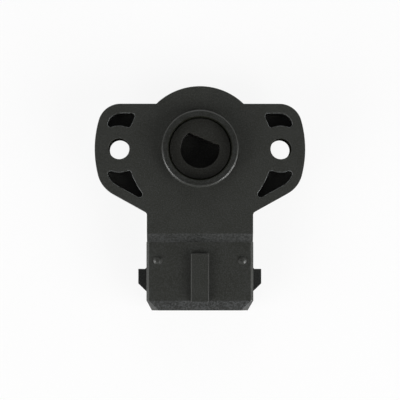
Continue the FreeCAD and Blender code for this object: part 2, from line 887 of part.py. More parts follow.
def add_stops(housing, s):
    """Add the rotor's two stops and the slotted post for the spring's front leg."""
    face = dog_place(s)
    low = direction(s.dog_start, face - s.dog_width) - s.stop_play
    high = direction(s.dog_end, face) + s.travel + s.stop_play
    outer = s.chamber_radius + s.stop_root
    for name, first, last in (
        ("RestStop", low - s.stop_angle, low), ("FullStop", high, high + s.stop_angle),
    ):
        stop = housing.profile(name, level=-s.front_wall)
        stop.polygon(*[
            (radius * cosine(angle), radius * sine(angle))
            for radius, angle in (
                (s.stop_radius, first), (outer, first), (outer, last), (s.stop_radius, last),
            )
        ])
        housing.pad(stop, s.stop_end - s.front_wall, back=True)
    half_slot = s.spring_wire / 2 + s.post_slot_play
    post = housing.profile("SpringPost", level=-s.front_wall)
    post.rectangle(
        s.post_start, s.post_end,
        s.spring_radius - half_slot - s.post_wall, s.spring_radius + half_slot + s.post_wall,
    )
    height = s.spring_gap + s.spring_wire + s.post_slot_play
    housing.pad(post, height, back=True)
    slot = housing.profile("LegSlot", level=-s.front_wall)
    slot.rectangle(s.post_start, s.post_end, s.spring_radius - half_slot, s.spring_radius + half_slot)
    housing.pocket(slot, height)


def dress_housing(housing, s):
    """Bevel the rims, and round the upright corners that a mould leaves round."""
    up = FreeCAD.Vector(0, 0, 1)
    housing.chamfer("CollarRim", s.collar_edge, lambda edge, at: (
        is_round(edge, s.collar_radius, s.collar_height)
    ))
    housing.chamfer("BoreRim", s.bore_edge, lambda edge, at: (
        is_round(edge, s.bore_radius, s.collar_height)
    ))
    housing.fillet("NeckCorners", s.neck_corner, lambda edge, at: (
        is_straight(edge, up) and near(abs(at.x), s.neck_width / 2) and near(at.y, -neck_shoulder(s))
    ))
    housing.fillet("PocketCorners", s.pocket_corner, lambda edge, at: (
        is_straight(edge, up) and near(at.z, -s.pocket_depth / 2) and is_pocket_corner(s, at)
    ))
    housing.chamfer("PocketRims", s.pocket_edge, lambda edge, at: (
        near(at.z, 0) and in_pocket_zone(s, at) and not is_hole(edge, s)
    ))
    housing.chamfer("HoleEntries", s.hole_entry, lambda edge, at: (
        near(at.z, 0) and is_hole(edge, s)
    ))
    housing.chamfer("RearRim", s.body_rear_edge, lambda edge, at: (
        is_round(edge, s.body_radius, -s.body_depth)
    ))


def is_pocket_corner(s, at):
    """Whether an upright edge of a pocket is one of its sharp corners."""
    top = s.flange_top.value - s.pocket_rim.value
    sharp = [
        meet_boss(s, s.pocket_inner_radius.value),
        meet_boss(s, ear_reach(s).value - s.pocket_rim.value),
        (math.sqrt(s.pocket_inner_radius.value**2 - top**2), top),
    ]
    return any(math.dist((abs(at.x), abs(at.y)), corner) < CLOSE for corner in sharp)


def in_pocket_zone(s, at):
    """Whether a point lies where the ears are cored, inside their rim."""
    reach = math.hypot(at.x, at.y)
    half_rim = s.pocket_rim.value / 2
    inward = slope_frame(s)[1]
    clear_of_slope = abs(at.x) * inward[0] + at.y * inward[1] > half_rim - slope_distance(s).value
    clear_of_top = at.y < s.flange_top.value - half_rim
    inner = (s.body_radius + s.pocket_inner_radius).value / 2
    return inner < reach < ear_reach(s).value - half_rim and clear_of_top and clear_of_slope


def is_hole(edge, s):
    """Whether an edge is round a mounting hole."""
    return isinstance(edge.Curve, Part.Circle) and near(edge.Curve.Radius, s.hole_radius)


def make_housing(doc, s):
    """Mould the housing: flange, round body, collar, neck and connector header in one."""
    housing = Piece(doc, "housing")
    disc = housing.profile("RoundBody")
    disc.circle(0, 0, s.body_radius)
    housing.pad(disc, s.body_depth, back=True)
    add_ears(housing, s)
    add_neck(housing, s)
    add_header(housing, s)
    add_collar(housing, s)
    hollow_back(housing, s)
    open_header(housing, s)
    add_stops(housing, s)
    dress_housing(housing, s)


def make_rear_cover(doc, s):
    """Mould the lid with the skirt that holds the board and the rotor's rear bearing."""
    cover = Piece(doc, "rear_cover")
    lid = cover.profile("Lid", level=-s.lid_level)
    keyhole(lid, s.lid_radius, s.lid_tail_width, s.lid_tail_reach)
    cover.pad(lid, s.lid_thickness, back=True)
    outer = s.board_radius - s.skirt_play
    skirt = cover.profile("Skirt", level=-s.lid_level)
    skirt.circle(0, 0, outer)
    skirt.circle(0, 0, outer - s.skirt_wall)
    cover.pad(skirt, s.lid_level - s.board_level - s.board_thickness)
    boss = cover.profile("BearingBoss", level=-s.lid_level)
    boss.circle(0, 0, s.boss_radius)
    top = s.shoulder_level + s.washer_play + s.washer_thickness
    cover.pad(boss, s.lid_level - top)
    bearing = cover.profile("Bearing", level=-top)
    bearing.circle(0, 0, s.journal_radius + s.journal_play)
    cover.pocket(bearing, s.bearing_depth)
    cover.fillet("TailCorners", s.lid_corner, tail_corners(s.lid_tail_width, s.lid_tail_reach))


def tail_corners(width, reach):
    """Test for the two upright edges at the end of a keyhole's tail."""
    def wanted(edge, at):
        upright = is_straight(edge, FreeCAD.Vector(0, 0, 1))
        return upright and near(abs(at.x), width / 2) and near(at.y, -reach)

    return wanted


def make_cover_seal(doc, s):
    """Lay the bead of sealant between the lid's edge and the housing."""
    seal = Piece(doc, "cover_seal")
    outer = seal.profile("Outer", level=-s.lid_level)
    width = s.lid_tail_width + 2 * s.seal_width
    keyhole(outer, s.lid_radius + s.seal_width, width, s.lid_tail_reach + s.seal_width)
    seal.pad(outer, s.seal_thickness, back=True)
    inner = seal.profile("Inner", level=-s.lid_level)
    keyhole(inner, s.lid_radius, s.lid_tail_width, s.lid_tail_reach)
    seal.pocket(inner, s.seal_thickness)
    seal.fillet("InnerCorners", s.lid_corner, tail_corners(s.lid_tail_width, s.lid_tail_reach))


def make_rotor(doc, s):
    """Mould the rotor: sealed hub, disc, journal, drive socket, dog and pegs."""
    rotor = Piece(doc, "rotor")
    hub = s.bore_radius - s.hub_play
    face = s.collar_height - s.rotor_recess
    groove_end = s.groove_start + s.groove_width
    disc_end = s.disc_level + s.disc_thickness
    half = rotor.profile("Half", "XZ_Plane")
    half.polygon(
        (0, face),
        (0, -s.journal_end),
        (s.journal_radius, -s.journal_end),
        (s.journal_radius, -s.shoulder_level),
        (s.neck_radius, -s.shoulder_level),
        (s.neck_radius, -disc_end),
        (s.disc_radius, -disc_end),
        (s.disc_radius, -s.disc_level),
        (hub, -s.disc_level),
        (hub, -groove_end),
        (s.groove_radius, -groove_end),
        (s.groove_radius, -s.groove_start),
        (hub, -s.groove_start),
        (hub, face - s.hub_edge),
        (hub - s.hub_edge, face),
    )
    rotor.revolve(half)
    cut_socket(rotor, s, face)
    dog = rotor.profile("Dog", level=-s.disc_level)
    push = dog_place(s)
    dog.polygon(
        (s.dog_start, push), (s.dog_start, push - s.dog_width),
        (s.dog_foot, push - s.dog_width), (s.dog_end, push),
    )
    rotor.pad(dog, s.dog_height)
    add_pegs(rotor, s, disc_end)


def cut_socket(rotor, s, face):
    """Cut the socket for the spindle's flattened end, with two crush ribs on its flat."""
    reach = math.sqrt(s.socket_radius.value**2 - s.socket_flat.value**2)
    flat_at = s.socket_flat.value
    socket = rotor.profile("Socket", level=face)
    socket.turn(s.socket_turn)
    ring = socket.arc((0, 0), (-reach, flat_at), (reach, flat_at))
    chord = socket.line((reach, flat_at), (-reach, flat_at))
    socket.close([ring, chord])
    socket.centre_on(ring, 0, 0, s.socket_radius)
    socket.tie("Horizontal", chord[0])
    socket.put_y(chord[0], START, s.socket_flat)
    rotor.pocket(socket, face + s.socket_floor)
    ribs = rotor.profile("CrushRibs", level=-s.socket_floor)
    ribs.turn(s.socket_turn)
    height = s.socket_flat - s.crush_rib_proud + s.crush_rib_radius
    for side in (-1, 1):
        ribs.circle(side * s.crush_rib_spacing / 2, height, s.crush_rib_radius)
    rotor.pad(ribs, face + s.socket_floor)


def add_pegs(rotor, s, disc_end):
    """Add the two pegs whose heads hold the wiper's plate to the disc."""
    middle = (s.plate_start + s.plate_end) / 2
    for name, radius, level, height in (
        ("Pegs", s.peg_radius, disc_end, s.plate_thickness),
        ("PegHeads", s.peg_head_radius, disc_end + s.plate_thickness, s.peg_head_height),
    ):
        pegs = rotor.profile(name, level=-level)
        pegs.turn(s.wiper_turn)
        for side in (-1, 1):
            pegs.circle(middle + side * s.peg_spacing / 2, -s.peg_distance, radius)
        rotor.pad(pegs, height, back=True)


def make_rotor_seal(doc, s):
    """Cut the square ring seal that fills the space between the groove's floor and the bore."""
    ring = Piece(doc, "rotor_seal")
    inner = s.groove_radius + s.seal_ring_play
    outer = s.bore_radius - s.seal_ring_play
    middle = s.groove_start + s.groove_width / 2
    front = (outer - inner) / 2 - middle
    back = -(outer - inner) / 2 - middle
    edge = s.seal_ring_edge
    section = ring.profile("Section", "XZ_Plane")
    section.polygon(
        (inner, back), (outer - edge, back), (outer, back + edge),
        (outer, front - edge), (outer - edge, front), (inner, front),
    )
    ring.revolve(section)


def make_thrust_washer(doc, s):
    """Lay the thrust washer on the cover's boss."""
    washer = Piece(doc, "thrust_washer")
    top = s.shoulder_level + s.washer_play
    ring = washer.profile("Ring", level=-top)
    ring.circle(0, 0, s.washer_radius)
    ring.circle(0, 0, s.journal_radius + s.washer_play)
    washer.pad(ring, s.washer_thickness, back=True)


def make_return_spring(doc, s):
    """Wind the return spring of square wire round the hub, with a straight leg at each end."""
    radius = s.spring_radius.value
    pitch = s.spring_pitch.value
    turns = s.spring_turns.value
    top = -(s.front_wall + s.spring_gap + s.spring_wire / 2).value
    coil = Part.makeHelix(pitch, pitch * turns, radius, 0, True)
    coil.rotate(FreeCAD.Vector(), FreeCAD.Vector(1, 0, 0), 180)
    coil.rotate(FreeCAD.Vector(), FreeCAD.Vector(0, 0, 1), 90)
    coil.translate(FreeCAD.Vector(0, 0, top))
    edges = Part.__sortEdges__(coil.Edges)
    first, last = edges[0], edges[-1]
    start = first.valueAt(first.FirstParameter)
    start_way = first.tangentAt(first.FirstParameter)
    end = last.valueAt(last.LastParameter)
    end_way = last.tangentAt(last.LastParameter)
    front_end = start - start_way * s.spring_front_leg.value
    front_leg = Part.LineSegment(front_end, start).toShape()
    rear_leg = Part.LineSegment(end, end + end_way * s.spring_rear_leg.value).toShape()
    path = Part.Wire([front_leg] + edges + [rear_leg])
    across = start_way.cross(FreeCAD.Vector(0, 0, 1)).normalize() * (s.spring_wire.value / 2)
    upward = across.cross(start_way).normalize() * (s.spring_wire.value / 2)
    corners = [front_end + across * x + upward * y for x, y in SQUARE]
    section = Part.makePolygon(corners + corners[:1])
    spring = doc.addObject("Part::Feature", "return_spring")
    spring.Label = "return_spring"
    spring.Shape = path.makePipeShell([section], True, True)


def add_wiper(doc, s):
    """Make the wiper's sprung plate and its two brushes, turned to their place at rest."""
    back = s.disc_level + s.disc_thickness
    plate = Piece(doc, "wiper_spring")
    side = plate.profile("Side", "YZ_Plane", (s.plate_start + s.plate_end) / 2)
    low = back + s.plate_thickness
    side.polygon(
        (-s.plate_back, -back),
        (-s.plate_back, -low),
        (-s.plate_front, -low),
        (-s.arm_flat, -s.arm_level - s.plate_thickness),
        (-s.arm_tip, -s.arm_level - s.plate_thickness),
        (-s.arm_tip, -s.arm_level),
        (-s.arm_flat, -s.arm_level),
        (-s.plate_front, -back),
    )
    plate.pad(side, s.plate_end - s.plate_start, middle=True)
    slot = plate.profile("Slot", level=-back)
    slot.rectangle(s.plate_start + s.arm_width, s.plate_end - s.arm_width, -s.plate_front, 0)
    plate.pocket(slot, s.board_level - back)
    holes = plate.profile("Holes", level=-back)
    middle = (s.plate_start + s.plate_end) / 2
    for way in (-1, 1):
        holes.circle(middle + way * s.peg_spacing / 2, -s.peg_distance, s.peg_radius + s.peg_play)
    plate.pocket(holes, s.plate_thickness)
    turn_piece(plate, s.wiper_turn)
    make_brush(doc, s, "wiper_brush_outer", s.plate_end - s.arm_width / 2)
    make_brush(doc, s, "wiper_brush_inner", s.plate_start + s.arm_width / 2)


def turn_piece(piece, angle):
    """Turn a piece about the rotor's axis."""
    turned = FreeCAD.Rotation(FreeCAD.Vector(0, 0, 1), angle.value)
    piece.body.Placement = FreeCAD.Placement(FreeCAD.Vector(), turned)
    piece.body.setExpression("Placement.Rotation.Angle", angle.text)


def make_brush(doc, s, label, radius):
    """Make one brush: a strip under the arm's end, slit into fingers that reach the track."""
    brush = Piece(doc, label)
    top = s.arm_level + s.plate_thickness
    touch = s.board_level - s.track_thickness - s.brush_play
    side = brush.profile("Side", "YZ_Plane", radius)
    side.polygon(
        (-s.arm_flat, -top),
        (-s.arm_flat, -top - s.brush_thickness),
        (-s.arm_tip, -top - s.brush_thickness),
        (s.brush_reach, -touch),
        (s.brush_reach, -touch + s.brush_thickness),
        (-s.arm_tip, -top),
    )
    brush.pad(side, s.arm_width, middle=True)
    slit = brush.profile("Slit", level=-top)
    first = radius - (s.fingers - 1) * s.finger_pitch / 2 + s.finger_pitch / 2
    slit.rectangle(
        first - s.finger_slot / 2, first + s.finger_slot / 2, -s.arm_tip, s.brush_reach + s.arm_tip
    )
    cut = brush.pocket(slit, s.board_level - top)
    brush.repeat(cut, (s.fingers - 2) * s.finger_pitch, s.fingers - 1, "Fingers")
    turn_piece(brush, s.wiper_turn)


def make_board(doc, s):
    """Cut the board that carries the tracks, with a hole for the rotor's neck."""
    board = Piece(doc, "track_board")
    outline = board.profile("Outline", level=-s.board_level)
    keyhole(outline, s.board_radius, s.tail_width - 2 * s.board_play, s.board_tail_reach)
    outline.circle(0, 0, s.board_hole_radius)
    board.pad(outline, s.board_thickness, back=True)


def make_resistor_track(doc, s):
    """Print the resistor: a ring that is open below, with a leg to each outer pad."""
    track = Piece(doc, "resistor_track")
    outline = track.profile("Outline", level=-s.board_level)
    outer = s.resistor_radius + s.track_width / 2
    inner = s.resistor_radius - s.track_width / 2
    far = s.blade_pitch + s.pad_width / 2
    close = s.blade_pitch - s.pad_width / 2
    end = -s.pad_end.value
    outer_y = -math.sqrt(outer.value**2 - far.value**2)
    inner_y = -math.sqrt(inner.value**2 - close.value**2)
    x_far, x_close = far.value, close.value
    rim = outline.arc((0, 0), (x_far, outer_y), (-x_far, outer_y))
    left_out = outline.line((-x_far, outer_y), (-x_far, end))
    left_end = outline.line((-x_far, end), (-x_close, end))
    left_in = outline.line((-x_close, end), (-x_close, inner_y))
    bore = outline.arc((0, 0), (-x_close, inner_y), (x_close, inner_y), backwards=True)
    right_in = outline.line((x_close, inner_y), (x_close, end))
    right_end = outline.line((x_close, end), (x_far, end))
    right_out = outline.line((x_far, end), (x_far, outer_y))
    outline.close([rim, left_out, left_end, left_in, bore, right_in, right_end, right_out])
    outline.centre_on(rim, 0, 0, outer)
    outline.centre_on(bore, 0, 0, inner)
    for side in (left_out, left_in, right_in, right_out):
        outline.tie("Vertical", side[0])
    outline.put(left_end[0], START, -far, -s.pad_end)
    outline.put(left_end[0], END, -close, -s.pad_end)
    outline.put(right_end[0], START, close, -s.pad_end)
    outline.put(right_end[0], END, far, -s.pad_end)
    track.pad(outline, s.track_thickness)


def make_collector_track(doc, s):
    """Print the collector: a full ring with one leg to the middle pad."""
    track = Piece(doc, "collector_track")
    outline = track.profile("Outline", level=-s.board_level)
    keyhole(outline, s.collector_radius + s.track_width / 2, s.pad_width, s.pad_end)
    outline.circle(0, 0, s.collector_radius - s.track_width / 2)
    track.pad(outline, s.track_thickness)


def make_terminal(doc, s, label, place):
    """Blank one blade, stepped down to a foot that lies on its pad."""
    blade = Piece(doc, label)
    middle = middle_depth(s)
    top = middle - s.blade_thickness / 2
    low = middle + s.blade_thickness / 2
    foot = s.board_level - s.track_thickness
    side = blade.profile("Side", "YZ_Plane")
    side.polygon(
        (-s.blade_tip, -top),
        (-s.blade_tip, -low),
        (-s.foot_end - s.foot_bend, -low),
        (-s.foot_end, -foot),
        (-s.foot_start, -foot),
        (-s.foot_start, -foot + s.blade_thickness),
        (-s.foot_end, -foot + s.blade_thickness),
        (-s.foot_end - s.foot_bend, -top),
    )
    blade.pad(side, s.blade_width, middle=True)
    blade.chamfer("Tip", s.blade_tip_edge, lambda edge, at: near(at.y, -s.blade_tip))
    blade.body.setExpression("Placement.Base.x", (place * s.blade_pitch).text)
    return blade.body


def make_solder_joint(doc, s, label, place, foot):
    """Run solder round the end of one foot, as a rounded bead with the foot cut out of it."""
    width = s.blade_width + 2 * s.solder_side
    front = s.foot_start - s.solder_front
    bead = doc.addObject("Part::Box", label + "_bead")
    bead.setExpression("Length", width.text)
    bead.setExpression("Width", (s.solder_end - front).text)
    bead.setExpression("Height", s.solder_height.text)
    bead.setExpression("Placement.Base.x", (place * s.blade_pitch - width / 2).text)
    bead.setExpression("Placement.Base.y", (-s.solder_end).text)
    bead.setExpression("Placement.Base.z", (-s.board_level + s.track_thickness).text)
    doc.recompute()
    top = (-s.board_level + s.track_thickness + s.solder_height)
    rounded = doc.addObject("Part::Fillet", label + "_round")
    rounded.Base = bead
    rounded.Edges = [
        (number, s.solder_round.value, s.solder_round.value)
        for number, edge in enumerate(bead.Shape.Edges, start=1)
        if near(middle_of(edge).z, top)
    ]
    joint = doc.addObject("Part::Cut", label)
    joint.Label = label
    joint.Base = rounded
    joint.Tool = foot


def make_potting(doc, s, blades):
    """Fill the end of the tail with resin, cast round the three blades."""
    block = doc.addObject("Part::Box", "potting_block")
    block.setExpression("Length", s.tail_width.text)
    block.setExpression("Width", (s.tail_reach - s.potting_start).text)
    block.setExpression("Height", s.potting_depth.text)
    block.setExpression("Placement.Base.x", (-s.tail_width / 2).text)
    block.setExpression("Placement.Base.y", (-s.tail_reach).text)
    block.setExpression("Placement.Base.z", (-s.tail_level - s.potting_depth).text)
    tools = doc.addObject("Part::MultiFuse", "potting_blades")
    tools.Shapes = blades
    potting = doc.addObject("Part::Cut", "terminal_potting")
    potting.Label = "terminal_potting"
    potting.Base = block
    potting.Tool = tools


# The blades and their solder joints, from left to right
TERMINALS = ("terminal_supply", "terminal_signal", "terminal_ground")
SOLDER_JOINTS = ("solder_joint_1", "solder_joint_2", "solder_joint_3")
PLACES = (-1, 0, 1)

PIECES = (
    "housing", "rear_cover", "cover_seal", "rotor", "rotor_seal", "return_spring",
    "thrust_washer", "wiper_spring", "wiper_brush_outer", "wiper_brush_inner", "track_board",
    "resistor_track", "collector_track", *TERMINALS, *SOLDER_JOINTS, "terminal_potting",
)


def build(doc):
    """Build every piece in its place."""
    s = Sheet(doc)
    make_housing(doc, s)
    make_rear_cover(doc, s)
    make_cover_seal(doc, s)
    make_rotor(doc, s)
    make_rotor_seal(doc, s)
    make_thrust_washer(doc, s)
    make_return_spring(doc, s)
    add_wiper(doc, s)
    make_board(doc, s)
    make_resistor_track(doc, s)
    make_collector_track(doc, s)
    blades = []
    for label, joint, place in zip(TERMINALS, SOLDER_JOINTS, PLACES):
        blade = make_terminal(doc, s, label, place)
        make_solder_joint(doc, s, joint, place, blade)
        blades.append(blade)
    make_potting(doc, s, blades)
    doc.recompute()


def check(doc):
    """Stop if a feature failed or a piece has no sound solid."""
    failed = [o.Name for o in doc.Objects if {"Invalid", "Error"} & set(o.State)]
    if failed:
        raise RuntimeError("failed: " + ", ".join(failed))
    for label in PIECES:
        shape = doc.getObjectsByLabel(label)[0].Shape
        if shape.isNull() or not shape.isValid() or not shape.Solids:
            raise RuntimeError(label + " has no sound solid")


def main():
    """Build the sensor, check it and write one file for each piece."""
    doc = FreeCAD.newDocument("ThrottlePositionSensor")
    build(doc)
    check(doc)
    os.makedirs("parts", exist_ok=True)
    for label in PIECES:
        doc.getObjectsByLabel(label)[0].Shape.exportStep("parts/%s.step" % label)


main()
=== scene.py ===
import logging
import math
from dataclasses import dataclass, field
from enum import Enum
from typing import Protocol, Sequence, TypeAlias

import bmesh
import bpy
from mathutils import Euler, Matrix, Vector

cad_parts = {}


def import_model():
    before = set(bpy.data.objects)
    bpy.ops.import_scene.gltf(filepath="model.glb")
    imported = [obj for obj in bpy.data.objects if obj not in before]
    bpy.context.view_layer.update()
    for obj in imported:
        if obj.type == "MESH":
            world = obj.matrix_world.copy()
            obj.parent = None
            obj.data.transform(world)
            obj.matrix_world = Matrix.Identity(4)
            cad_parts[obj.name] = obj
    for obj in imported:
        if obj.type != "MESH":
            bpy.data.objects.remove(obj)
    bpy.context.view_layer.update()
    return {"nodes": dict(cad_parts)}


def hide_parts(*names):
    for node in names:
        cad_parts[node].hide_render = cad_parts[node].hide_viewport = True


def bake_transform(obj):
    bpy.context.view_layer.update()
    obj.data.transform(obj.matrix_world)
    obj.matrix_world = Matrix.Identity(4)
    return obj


# A throttle position sensor that lies on its back: a black moulded housing with a flange, a
# locating collar and a connector header, and the rotor inside the collar. Everything is in metres,
# with the origin on the rotor's axis in the plane of the flange's front face.

MM = 0.001
LOG = logging.getLogger("sensor")

WHITE = (1.0, 1.0, 1.0)

# Where a Mix node keeps the sockets for colours.
MIX_SHARE = 0
MIX_FIRST = 6
MIX_SECOND = 7
MIX_RESULT = 2

# A band is the two values of a pattern, or two places, between which a smooth step goes from 0 to 1.
Band: TypeAlias = tuple[float, float]
Colour: TypeAlias = tuple[float, float, float]
Value: TypeAlias = "float | Wire"


class Body(str, Enum):
    """The two rigid bodies that the pieces ride on."""

    HOUSING = "sensor_housing"
    ROTOR = "sensor_rotor"


class Wire:
    """An output of a shader node, on which sums are written as Python expressions."""

    def __init__(self, graph: "Graph", socket: bpy.types.NodeSocket) -> None:
        """Wrap a socket.

        Args:
            graph: the graph that the socket's node belongs to.
            socket: the output socket.
        """
        self.graph = graph
        self.socket = socket

    def math(self, operation: str, *others: Value) -> "Wire":
        """Feed the value through a Math node.

        Args:
            operation: the node's operation.
            others: the second and third value.

        Returns:
            The node's result.
        """
        values = dict(enumerate((self, *others)))
        return self.graph.node("ShaderNodeMath", {"operation": operation}, values)

    def __add__(self, other: Value) -> "Wire":
        """Sum of two values."""
        return self.math("ADD", other)

    def __radd__(self, other: Value) -> "Wire":
        """Sum with the number first."""
        return self.math("ADD", other)

    def __sub__(self, other: Value) -> "Wire":
        """Difference of two values."""
        return self.math("SUBTRACT", other)

    def __rsub__(self, other: Value) -> "Wire":
        """Difference with the number first."""
        return self.graph.number(other).math("SUBTRACT", self)

    def __mul__(self, other: Value) -> "Wire":
        """Product of two values."""
        return self.math("MULTIPLY", other)

    def __rmul__(self, other: Value) -> "Wire":
        """Product with the number first."""
        return self.math("MULTIPLY", other)

    def __truediv__(self, other: Value) -> "Wire":
        """Quotient of two values."""
        return self.math("DIVIDE", other)

    def between(self, low: float, high: float) -> "Wire":
        """Rise smoothly from 0 at one value to 1 at another.

        Args:
            low: where the result is 0.
            high: where the result is 1, above or below low.

        Returns:
            The smooth step.
        """
        settings = {"interpolation_type": "SMOOTHSTEP"}
        values = {"Value": self, "From Min": low, "From Max": high}
        return self.graph.node("ShaderNodeMapRange", settings, values)


class Graph:
    """A node tree, emptied, with the place or direction that its patterns lie on."""

    def __init__(self, tree: bpy.types.NodeTree, output: str, coordinates: str) -> None:
        """Start an empty tree.

        Args:
            tree: the node tree.
            output: the type of its output node.
            coordinates: which texture coordinates its patterns use.
        """
        self.tree = tree
        self.tree.nodes.clear()
        self.output = self.tree.nodes.new(output)
        self.place = self.node("ShaderNodeTexCoord", output=coordinates)

    def node(
        self,
        kind: str,
        settings: dict[str, object] | None = None,
        values: dict[str | int, object] | None = None,
        output: str | int = 0,
    ) -> Wire:
        """Add a node.

        Args:
            kind: the node's type.
            settings: properties to set first.
            values: numbers, colours or wires for its sockets.
            output: which output to return.

        Returns:
            The chosen output.
        """
        made = self.tree.nodes.new(kind)
        for key, setting in (settings or {}).items():
            setattr(made, key, setting)
        for key, value in (values or {}).items():
            self.feed(made.inputs[key], value)
        return Wire(self, made.outputs[output])

    def feed(self, socket: bpy.types.NodeSocket, value: object) -> None:
        """Link a wire to a socket, or set the socket's own value.

        Args:
            socket: the input socket.
            value: a wire, a number, a colour or a vector.
        """
        if isinstance(value, Wire):
            self.tree.links.new(value.socket, socket)
        elif isinstance(value, tuple) and len(value) == 3 and socket.type == "RGBA":
            socket.default_value = (*value, 1.0)
        else:
            socket.default_value = value

    def number(self, value: float) -> Wire:
        """A plain number as a wire."""
        return self.node("ShaderNodeMath", {"operation": "ADD"}, {0: value, 1: 0.0})

    def noise(
        self, grain: float, detail: float = 2.0, stretch: Sequence[float] = (1, 1, 1),
    ) -> Wire:
        """Cloudy noise on the piece's own coordinates.

        Args:
            grain: size of one cloud, in metres.
            detail: how many finer layers are added.
            stretch: how much longer the clouds are along each axis.

        Returns:
            The noise, from 0 to 1.
        """
        scale = tuple(1 / (grain * share) for share in stretch)
        place = self.node("ShaderNodeMapping", values={"Vector": self.place, "Scale": scale})
        values = {"Vector": place, "Scale": 1.0, "Detail": detail}
        return self.node("ShaderNodeTexNoise", values=values)

    def cells(self, grain: float) -> Wire:
        """Distance from the nearest of many scattered points.

        Args:
            grain: mean spacing of the points, in metres.

        Returns:
            The distance, as a share of the spacing.
        """
        values = {"Vector": self.place, "Scale": 1 / grain}
        return self.node("ShaderNodeTexVoronoi", values=values, output="Distance")

    def along(self, axis: int) -> Wire:
        """One coordinate of the place on the piece, in metres."""
        return self.node("ShaderNodeSeparateXYZ", values={0: self.place}, output=axis)

    def blend(self, share: Value, first: Colour | Wire, second: Colour | Wire) -> Wire:
        """Mix two colours.

        Args:
            share: share of the second colour.
            first: the first colour.
            second: the second colour.

        Returns:
            The mixed colour.
        """
        made = self.tree.nodes.new("ShaderNodeMix")
        made.data_type = "RGBA"
        self.feed(made.inputs[MIX_SHARE], share)
        self.feed(made.inputs[MIX_FIRST], first)
        self.feed(made.inputs[MIX_SECOND], second)
        return Wire(self, made.outputs[MIX_RESULT])

    def bump(self, height: Wire, depth: float, normal: Wire | None = None) -> Wire:
        """Turn a height into a disturbed normal.

        Args:
            height: the height, from 0 to 1.
            depth: the depth of the relief, in metres.
            normal: the normal to disturb, where it isn't the surface's own.

        Returns:
            The disturbed normal.
        """
        values: dict[str | int, object] = {"Height": height, "Distance": depth}
        if normal is not None:
            values["Normal"] = normal
        return self.node("ShaderNodeBump", values=values, output="Normal")

    def show(self, shader: Wire) -> None:
        """Link a shader to the output."""
        self.feed(self.output.inputs["Surface"], shader)


class Surface(Graph):
    """The node tree of one material, with its main shader in place."""

    def __init__(self, name: str) -> None:
        """Start a material with one Principled shader.

        Args:
            name: the material's name.
        """
        self.material = bpy.data.materials.new(name)
        self.material.use_nodes = True
        super().__init__(self.material.node_tree, "ShaderNodeOutputMaterial", "Object")
        self.shader = self.tree.nodes.new("ShaderNodeBsdfPrincipled")
        self.show(Wire(self, self.shader.outputs[0]))

    def overlay(self, share: Wire, kind: str, **values: object) -> None:
        """Lay another shader over the first.

        Args:
            share: share of the other shader, from 0 to 1.
            kind: the other shader's type.
            values: its socket names, with underscores for spaces, and what they get.
        """
        named = {name.replace("_", " "): value for name, value in values.items()}
        other = self.node(kind, values=named)
        first = Wire(self, self.shader.outputs[0])
        self.show(self.node("ShaderNodeMixShader", values={0: share, 1: first, 2: other}))

    def dress(self, **values: object) -> bpy.types.Material:
        """Set the shader's sockets.

        Args:
            values: socket names, with underscores for spaces, and what they get.

        Returns:
            The finished material.
        """
        for name, value in values.items():
            self.feed(self.shader.inputs[name.replace("_", " ")], value)
        return self.material


def shade(colour: Colour, share: float) -> Colour:
    """A colour made darker or lighter by one share."""
    return tuple(part * share for part in colour)


class Recipe(Protocol):
    """Anything that can make a material.

    The recipes keep their numbers as fields: the size of each pattern in metres, the band of it
    that counts, its share in the colour, and its part in the roughness.
    """

    def material(self) -> bpy.types.Material:
        """Make the material."""


@dataclass(frozen=True)
class MouldedPlastic:
    """Black glass-filled plastic with the fine texture of a spark-eroded mould.

    The grain is the mould's texture, the flecks are single pale grains of it in loose patches, and
    the cloud is the slow change across the whole face.
    """

    name: str
    tint: Colour
    roughness: float
    specular: float = 0.5
    grain: float = 0.3 * MM
    grain_band: Band = (0.42, 0.62)
    grain_share: float = 0.09
    grain_roughness: float = 0.1
    relief: float = 0.022 * MM
    cloud: float = 5 * MM
    cloud_band: Band = (0.3, 0.7)
    cloud_share: float = 0.02
    cloud_roughness: float = 0.04
    fleck: Colour = (0.15, 0.16, 0.162)
    fleck_pitch: float = 0.42 * MM
    fleck_size: Band = (0.3, 0.05)
    fleck_patch: float = 0.9 * MM
    fleck_band: Band = (0.45, 0.55)
    fleck_share: float = 0.14
    polish: float = 0.09
    edge_round: float = 0.16 * MM
    edge_samples: int = 8

    def material(self) -> bpy.types.Material:
        """Make the material.

        Returns:
            The material.
        """
        return self.mould(Surface(self.name), self.tint)

    def mould(
        self, graph: Surface, tint: Colour | Wire,
        speckle: Value = 0.0, lumps: Value = 0.0, polished: Value = 0.0,
    ) -> bpy.types.Material:
        """Texture the surface.

        Args:
            graph: the material's graph.
            tint: the plastic's colour before its texture.
            speckle: share of the flecks' colour added to the texture's own.
            lumps: height added to the texture's own, in heights of the texture.
            polished: where the surface is smoother, from 0 to 1.

        Returns:
            The material.
        """
        grain = graph.noise(self.grain, detail=4.0)
        cloud = graph.noise(self.cloud, detail=4.0)
        flecks = graph.cells(self.fleck_pitch).between(*self.fleck_size)
        flecks = flecks * graph.noise(self.fleck_patch).between(*self.fleck_band)
        settings = {"samples": self.edge_samples}
        soft_edge = graph.node("ShaderNodeBevel", settings, {"Radius": self.edge_round})
        share = cloud.between(*self.cloud_band) * self.cloud_share
        share = share + grain.between(*self.grain_band) * self.grain_share
        share = share + flecks * self.fleck_share + speckle
        rough = cloud * self.cloud_roughness + grain * self.grain_roughness
        middle = self.roughness - (self.cloud_roughness + self.grain_roughness) / 2
        return graph.dress(
            Base_Color=graph.blend(share, tint, self.fleck),
            Roughness=rough - polished * self.polish + middle,
            Specular_IOR_Level=self.specular,
            Normal=graph.bump(grain + lumps, self.relief, normal=soft_edge),
        )


